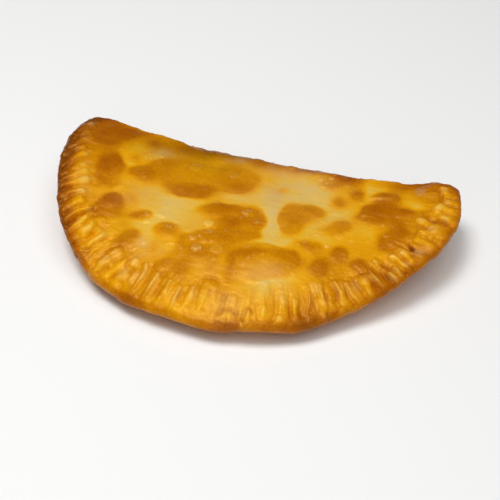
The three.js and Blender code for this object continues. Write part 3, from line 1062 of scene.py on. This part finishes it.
# broad areas: pixel x, y, half width and half depth in mm, strength
toastAreas = {
    "above slant oval": (126, 224, 4.5, 5, 0.14),
    "pale smear": (282, 191, 5, 3.6, 0.24),
    "below slant right": (287, 236, 5, 4, 0.12),
    "right low tail": (392, 250, 4, 4, 0.10),
    "right crimps": (414, 250, 17, 14, 0.14),
    "pale right": (300, 205, 34, 18, -0.06),
    "pale left": (180, 207, 24, 9, -0.05),
    "pale front": (285, 289, 24, 10, -0.11),
    "left end": (105, 190, 16, 26, 0.06),
    "right end": (432, 238, 12, 14, 0.06),
    "right of middle": (365, 250, 15, 12, 0.10),
    "front left": (150, 275, 22, 12, 0.03),
    "front left rim": (170, 309, 10, 6, -0.17),
    "front right": (370, 282, 34, 10, 0.16),
    "lip left": (132, 302, 14, 4, 0.12),
    "lip front": (266, 327, 13, 4, 0.08),
    "lip right": (304, 321, 14, 5, 0.28),
    "left crimps": (74, 185, 12, 34, 0.10),
    "left top": (86, 140, 12, 14, 0.10),
    "low left crimps": (105, 262, 16, 12, 0.07),
    "front left crimps": (155, 298, 20, 8, 0.06),
    "front right crimps": (308, 304, 14, 9, 0.19),
    "front left facets": (160, 281, 20, 10, 0.06),
    "right front crimps": (365, 280, 18, 9, 0.08),
    "right rim": (407, 262, 8, 7, 0.05),
    "low left rim": (88, 268, 8, 6, -0.20),
    "tip": (449, 196, 4, 6, -0.12),
    "gold right": (416, 208, 5, 4, -0.16),
    "gold left": (98, 188, 9, 6, -0.14),
    "left tip": (66, 150, 7, 18, 0.25),
    # the fold rows darken the skin along the fold: partly browning, partly painted shade where the skin
    # turns away
    "fold back": (212, 154, 40, 10.5, 0.38),
    "fold middle": (252, 166, 14, 6, 0.11),
    "fold edge": (312, 171, 10, 4, 0.45),
    "fold edge right": (350, 177, 20, 5, 0.35),
    "fold edge end": (410, 185, 18, 4, 0.30),
    "fold before tip": (382, 184, 6, 3, 0.12),
    "below fold left": (142, 149, 5, 3.5, -0.15),
    # right crease, below slit, left dimple and low left crease are painted shade in and beside hollows
    "right crease": (366, 277, 3, 3, 0.20),
    "below slit": (414, 256, 3, 3, 0.20),
    "left dimple": (104, 225, 3.5, 3, 0.16),
    "dimple shade": (167, 243, 2.5, 2.5, 0.18),
    "low left crease": (87, 254, 3, 3, 0.18),
    "left rim": (63, 174, 3, 8, 0.16),
    "low left lip": (130, 290, 5, 4, 0.14),
    "below big low": (239, 276, 4, 3, 0.12),
    "arch inside": (208, 291, 7, 4, 0.13),
    "right dots": (361, 203, 3, 3, 0.14),
    "right pillow": (349, 278, 3, 3, -0.14),
    "front right pillow": (297, 306, 3, 5, -0.12),
    "left pillow": (91, 206, 4, 2.5, -0.15),
    "between rounds": (325, 257, 2.5, 3, -0.12),
    "left of right low": (376, 238, 3.5, 3.5, -0.12),
    "above right crimps": (377, 258, 4, 3, -0.14),
}
heartAreas = {  # laid over the blisters
    "big low": (265, 270, 16, 9, -0.15),
    "middle strip": (255, 245, 12, 3.6, -0.22),
    "middle ring": (250, 215, 2.5, 2.5, -0.12),
    "low left": (204, 267, 9, 6, -0.06),
    "low left two": (221, 268, 4, 9, -0.09),
    "left gap": (121, 189, 5, 3.5, -0.16),
    "left gap two": (108, 189, 6, 3.5, -0.10),
    "right gap": (417, 207, 4, 3.5, -0.10),
    "right gap two": (404, 203, 3, 2.5, -0.12),
    "big low ring left": (230, 263, 3, 7, 0.10),
    "big low ring top": (262, 249, 14, 2.6, 0.06),
}
filmAreas = {  # where the skin is a dull pale film
    "right of middle": (275, 204, 6, 16, 0.31),
    "pale right": (296, 190, 20, 12, 0.32),
    "pale smear": (283, 190, 4, 3, -0.30),
    "middle strip": (252, 198, 15, 5, 0.26),
    "fold grey": (240, 160, 7, 5, 0.26),
    "fold pale": (282, 172, 13, 5, 0.30),
    "fold edge": (313, 170, 9, 3, -0.25),
    "left fold grey": (164, 153, 9, 4, 0.30),
    "pale left": (147, 197, 18, 9, 0.21),
    "pale left low": (186, 222, 10, 7, 0.14),
    "below slant oval": (140, 242, 4, 9, 0.22),
    "left of crimps": (151, 251, 8, 7, 0.14),
    "right of slant": (331, 220, 14, 8, 0.14),
    "front middle": (258, 288, 9, 6, 0.12),
    "front pale": (280, 284, 7, 6, 0.10),
    "front crimps": (228, 303, 12, 8, 0.12),
    "slit side": (419, 252, 4, 2.5, 0.20),
}
heartFilmAndSheen = {  # the same over the blisters
    "big low": (264, 271, 14, 6.5, 0.12),
    "low left": (206, 268, 7, 6, 0.08),
    # a painted glint on the tip dome
    "tip dome": (420, 192, 3.0, 3.0, 0.35),
    "bar crease": (380, 201, 7, 1.8, 0.06),
}
paintedShadeAreas = {  # painted shade, an olive darkening mostly along the back of the fold
    "fold back": (218, 153, 56, 8.5, 0.82),
    "upper": (205, 170, 30, 14, 0.36),
    "slant oval": (124, 222, 6, 8, 0.25),
}


def spread(areas, power=2):
    total = blank()
    for x, y, halfWidth, halfDepth, strength in areas.values():
        total += strength * np.exp(-(spotDistance((x, y), halfWidth, halfDepth, 0) ** power))
    return total


flatTop = 4  # an area with this power is even inside and drops at its rim
# knobs on the lip, painted paler where they rise and darker where they sink, as light and shade
lipKnobs = {"size": 5.5, "height": 0.35, "toast": 0.07, "reach": (3.0, 7.0), "seed": 57}
knobs = cloud(lipKnobs["size"], lipKnobs["seed"]) * (1 - skin["fold"])
knobs *= 1 - smoothStep(*lipKnobs["reach"], skin["fromEdge"])
lipShare = (1 - smoothStep(*crustToast["lipReach"], skin["fromEdge"])) * (1 - skin["fold"])
lipShare *= 1 + clouds(crustToast["lipUneven"])


def browning():
    across, fromEdge = skin["local"][:, 0], skin["fromEdge"]
    onBlisters = clouds(crustToast["onBlisters"])
    edgeTone, edgeFull, edgeGone = crustToast["nearEdge"]
    endTone, endStart, endFull = crustToast["ends"]
    tone = np.full(len(skinUp), crustToast["middle"])
    tone += edgeTone * (1 - smoothStep(edgeFull, edgeGone, fromEdge))
    tone += endTone * smoothStep(endStart, endFull, np.abs(across))
    tone += clouds(crustToast["cloudy"]) + spread(toastAreas)
    tone = blendTo(tone, blisterToast + onBlisters, blisterInside) + spread(heartAreas, flatTop)
    leftEnd, rightEnd = (smoothStep(*crustToast[end], across) for end in ("leftEnd", "rightEnd"))
    leftPaler, rightPaler = crustToast["lipAtEnds"]
    tone += lipShare * crustToast["lip"] * (1 - leftPaler * leftEnd - rightPaler * rightEnd)
    leftTone, leftFull, leftGone = crustToast["leftLip"]
    tone += leftTone * leftEnd * (1 - smoothStep(leftFull, leftGone, fromEdge))
    foldTone, foldFull, foldGone = crustToast["fold"]
    # darker along the fold: partly browning, partly painted shade where the skin turns away
    backEdge = (1 - smoothStep(foldFull, foldGone, skin["fromFold"])) * patches(*crustToast["foldUneven"])
    tone += foldTone * backEdge * (1 - crustToast["foldOnBlisters"] * blisterInside)
    behind = crustToast["hidden"] + clouds(*crustToast["hiddenCloudy"]) + lipShare * crustToast["lip"]
    behind = blendTo(behind, hiddenToast + onBlisters, hiddenInside)
    # the painted light and shade of the pressed edge, the bubbles' moats and the lip's knobs go into the
    # toast here
    tone = blendTo(tone, behind, hidden) + edgeLightAndShade + bubbleMoatShade - lipKnobs["toast"] * knobs
    limit, slower = crustToast["slowDown"]
    darkest = np.where(edgeLightAndShade > crustToast["slit"], 1.0, crustToast["darkest"])
    return np.clip(np.minimum(tone, limit + (tone - limit) * slower), 0, darkest)


toast = browning()

crustFilmAndShade = {
    "onBlisters": 0.7,  # the film is weaker by this share there
    "filmUneven": (0.6, 6.0, 19, 3),  # share, size in mm, seed, octaves
    "paintedShadeTurn": (0.05, 0.35),  # the painted shade lies where the skin is turned up this far
    "paintedShadeUneven": (0.4, 11.0, 20, 2),
}
filmAndSheen = spread(filmAreas) * (1 - crustFilmAndShade["onBlisters"] * blisterInside) + spread(heartFilmAndSheen, flatTop)
filmAndSheen = np.clip(filmAndSheen * topSide * (1 + clouds(crustFilmAndShade["filmUneven"])), 0, 1)
paintedShade = spread(paintedShadeAreas) * smoothStep(*crustFilmAndShade["paintedShadeTurn"], skinUp)
paintedShade = np.clip(paintedShade * (1 + clouds(crustFilmAndShade["paintedShadeUneven"])), 0, 1)
# clear is the bubbles' clear skin and painted highlights, together with the painted highlight on the
# pressed edge's crests
clear = np.clip(np.maximum(bubbleClearAndGleam, edgePress["paintedHighlight"] * edgeHighlight), 0, 1)
print("browning spread, toast from", round(toast.min(), 2), "to", round(toast.max(), 2))

# unevenness of the skin: height and size in mm, seed, octaves
skinGrain = [(0.5, 26.0, 14, 2), (0.14, 7.0, 15, 2), (0.06, 2.4, 16, 2)]
skinCreases = {"length": 9.0, "pitch": 2.2, "height": 0.1, "seed": 65}
wrinkles = skin["points"] / (skinCreases["length"], skinCreases["pitch"], skinCreases["length"])
grainHeight = clouds(*skinGrain)
grainHeight += skinCreases["height"] * noiseAt(wrinkles, skinCreases["seed"], 2)

# creases across the back of the fold
foldCreases = {"pitch": 6.5, "length": 30.0, "height": 1.3, "level": 0.3, "reach": (10, 24), "seed": 61}
alongFold = skin["points"][:, 0] / foldCreases["pitch"]
upFold = skin["points"][:, 2] / foldCreases["length"]
folds = noiseAt(np.stack([alongFold, upFold, blank()], 1), foldCreases["seed"], 2)
creaseHeight = foldCreases["height"] * (foldCreases["level"] - np.abs(folds))
creaseHeight *= hidden * skin["fold"] * (1 - smoothStep(*foldCreases["reach"], skin["fromFold"]))

height = edgeHeight + blisterHeight + hiddenHeight + bubbleHeight + grainHeight + creaseHeight
height += lipKnobs["height"] * knobs
# the underside stays flat where it rests: turned down this far, relief sets in between these mm
underRest = {"turn": -0.5, "flat": (0.0, 2.5)}
settled = smoothStep(*underRest["flat"], skin["points"][:, 2])
height = np.where(skinUp < underRest["turn"], height * settled, height)


def sculptSkin(piece):
    moved = (skin["points"] + skin["normals"] * height[:, None]) * mm
    moved[:, 2] = np.maximum(moved[:, 2], nodeLow.z)
    piece.data.vertices.foreach_set("co", moved.astype(np.float32).ravel())
    for name, values in (("toast", toast), ("filmAndSheen", filmAndSheen), ("clear", clear), ("paintedShade", paintedShade)):
        layer = piece.data.attributes.new(name, "FLOAT", "POINT")
        layer.data.foreach_set("value", np.asarray(values, np.float32))
    for face in piece.data.polygons:
        face.use_smooth = True
    piece.data.update()


sculptSkin(crust)
print("skin sculpted, relief from", round(height.min(), 2), "to", round(height.max(), 2), "mm")

# fried dough: toast, with the painted light and shade added into it, drives the colour, fine grain the bump

friedDough = {
    # toast, then sRGB colour
    "ramp": [
        (0.00, (222, 184, 92)),
        (0.12, (226, 178, 62)),
        (0.25, (225, 165, 26)),
        (0.36, (222, 152, 6)),
        (0.50, (204, 132, 2)),
        (0.60, (188, 114, 0)),
        (0.70, (174, 98, 0)),
        (0.80, (158, 84, 0)),
        (0.90, (134, 68, 2)),
        (1.00, (84, 38, 2)),
    ],
    # the pale film and its painted sheen, the clear skin and its painted highlights, and the olive tint of
    # the painted shade
    "filmAndSheenColour": (196, 174, 132),
    "clearAndGleamColour": (236, 200, 118),
    "paintedShadeTint": (0.58, 0.63, 0.30, 1.0),
    "roughness": 0.33,
    "specular": 0.42,
    "shineTint": (1.0, 0.62, 0.15, 1.0),
    "sheen": (-0.08, 0.12),  # the roughness strays by this
    "mottle": 0.13,
    "mottleSize": 0.0012,
    "mottleDetail": 4,
    "grainSize": 0.0007,
    "grainDetail": 5,
    "grainBump": (0.5, 0.0002),  # strength, depth in metres
}


def linearColour(rgb):
    parts = [c / 255 for c in rgb]
    return (*[c / 12.92 if c <= 0.04045 else ((c + 0.055) / 1.055) ** 2.4 for c in parts], 1.0)


def makeDough():
    material = bpy.data.materials.new("fried_dough")
    material.use_nodes = True
    nodes, links = material.node_tree.nodes, material.node_tree.links
    shader = nodes["Principled BSDF"]
    shader.inputs["Specular IOR Level"].default_value = friedDough["specular"]
    shader.inputs["Specular Tint"].default_value = friedDough["shineTint"]

    place = nodes.new("ShaderNodeTexCoord")
    reads = {}
    for name in ("toast", "filmAndSheen", "clear", "paintedShade"):
        reads[name] = nodes.new("ShaderNodeAttribute")
        reads[name].attribute_name = name

    mottle = nodes.new("ShaderNodeTexNoise")
    mottle.inputs["Scale"].default_value = 1 / friedDough["mottleSize"]
    mottle.inputs["Detail"].default_value = friedDough["mottleDetail"]
    links.new(place.outputs["Object"], mottle.inputs["Vector"])
    mottling = nodes.new("ShaderNodeMapRange")
    mottling.inputs["To Min"].default_value = -friedDough["mottle"]
    mottling.inputs["To Max"].default_value = friedDough["mottle"]
    links.new(mottle.outputs["Fac"], mottling.inputs["Value"])
    total = nodes.new("ShaderNodeMath")
    links.new(reads["toast"].outputs["Fac"], total.inputs[0])
    links.new(mottling.outputs["Result"], total.inputs[1])

    ramp = nodes.new("ShaderNodeValToRGB")
    stops = friedDough["ramp"]
    while len(ramp.color_ramp.elements) < len(stops):
        ramp.color_ramp.elements.new(0.5)
    for element, (position, rgb) in zip(ramp.color_ramp.elements, stops):
        element.position = position
        element.color = linearColour(rgb)
    links.new(total.outputs["Value"], ramp.inputs["Fac"])

    colour = ramp.outputs["Color"]
    # film adds pale skin with a painted sheen, clear adds painted highlights, and the last layer darkens as
    # painted shade
    layers = (
        ("filmAndSheen", "MIX", linearColour(friedDough["filmAndSheenColour"])),
        ("clear", "MIX", linearColour(friedDough["clearAndGleamColour"])),
        ("paintedShade", "MULTIPLY", friedDough["paintedShadeTint"]),
    )
    for name, blending, tint in layers:
        layer = nodes.new("ShaderNodeMix")
        layer.data_type = "RGBA"
        layer.blend_type = blending
        layer.inputs["B"].default_value = tint
        links.new(reads[name].outputs["Fac"], layer.inputs["Factor"])
        links.new(colour, layer.inputs["A"])
        colour = layer.outputs["Result"]
    links.new(colour, shader.inputs["Base Color"])

    grain = nodes.new("ShaderNodeTexNoise")
    grain.inputs["Scale"].default_value = 1 / friedDough["grainSize"]
    grain.inputs["Detail"].default_value = friedDough["grainDetail"]
    links.new(place.outputs["Object"], grain.inputs["Vector"])
    bump = nodes.new("ShaderNodeBump")
    strength, depth = friedDough["grainBump"]
    bump.inputs["Strength"].default_value = strength
    bump.inputs["Distance"].default_value = depth
    links.new(grain.outputs["Fac"], bump.inputs["Height"])
    links.new(bump.outputs["Normal"], shader.inputs["Normal"])

    sheen = nodes.new("ShaderNodeMapRange")
    smoothest, roughest = (friedDough["roughness"] + stray for stray in friedDough["sheen"])
    sheen.inputs["To Min"].default_value = smoothest
    sheen.inputs["To Max"].default_value = roughest
    links.new(mottle.outputs["Fac"], sheen.inputs["Value"])
    links.new(sheen.outputs["Result"], shader.inputs["Roughness"])
    return material


crust.data.materials.clear()
crust.data.materials.append(makeDough())
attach(crust, "root")
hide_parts("cheburek")
print("dough material set")

# pale floor and soft studio light

studio = {
    "floorHalf": 20.0,
    "floorColour": (0.9, 0.9, 0.89, 1.0),
    "floorRoughness": 0.7,
    "worldStrength": 0.05,
    "sky": ((0.25, -0.25, 1.40), 62.0, 1.31),  # comes from, spread in degrees, strength
    # name: place, size and power
    "softboxes": {
        "key_softbox": ((-0.28, -0.16, 1.20), 0.5, 8.8),
        "front_softbox": ((0.22, -0.93, 0.26), 0.9, 2.3),
    },
}


def makeFloor():
    bm = bmesh.new()
    bmesh.ops.create_grid(bm, x_segments=1, y_segments=1, size=studio["floorHalf"])
    mesh = bpy.data.meshes.new("pale_floor")
    bm.to_mesh(mesh)
    bm.free()
    floor = bpy.data.objects.new("pale_floor", mesh)
    floor.location.z = nodeLow.z
    bpy.context.scene.collection.objects.link(floor)
    material = bpy.data.materials.new("pale_floor")
    material.use_nodes = True
    shader = material.node_tree.nodes["Principled BSDF"]
    shader.inputs["Base Color"].default_value = studio["floorColour"]
    shader.inputs["Roughness"].default_value = studio["floorRoughness"]
    mesh.materials.append(material)


def makeSoftbox(name, place, size, power):
    data = bpy.data.lights.new(name, "AREA")
    data.size = size
    data.energy = power
    light = bpy.data.objects.new(name, data)
    light.location = place
    light.rotation_euler = (-Vector(place)).to_track_quat("-Z", "Y").to_euler()
    bpy.context.scene.collection.objects.link(light)


def makeSky():
    # a wide soft light that doesn't fall off, so the floor stays pale to its end
    comesFrom, spreadAngle, strength = studio["sky"]
    data = bpy.data.lights.new("sky_fill", "SUN")
    data.angle = math.radians(spreadAngle)
    data.energy = strength
    light = bpy.data.objects.new("sky_fill", data)
    light.location = comesFrom
    light.rotation_euler = (-Vector(comesFrom)).to_track_quat("-Z", "Y").to_euler()
    bpy.context.scene.collection.objects.link(light)


def makeWorld():
    world = bpy.data.worlds.new("studio")
    world.use_nodes = True
    background = world.node_tree.nodes["Background"]
    background.inputs["Color"].default_value = (1.0, 1.0, 1.0, 1.0)
    background.inputs["Strength"].default_value = studio["worldStrength"]
    bpy.context.scene.world = world


makeFloor()
makeSky()
for boxName, (boxPlace, boxSize, boxPower) in studio["softboxes"].items():
    makeSoftbox(boxName, boxPlace, boxSize, boxPower)
makeWorld()
bpy.context.scene.view_settings.view_transform = "Standard"
print("studio lit")
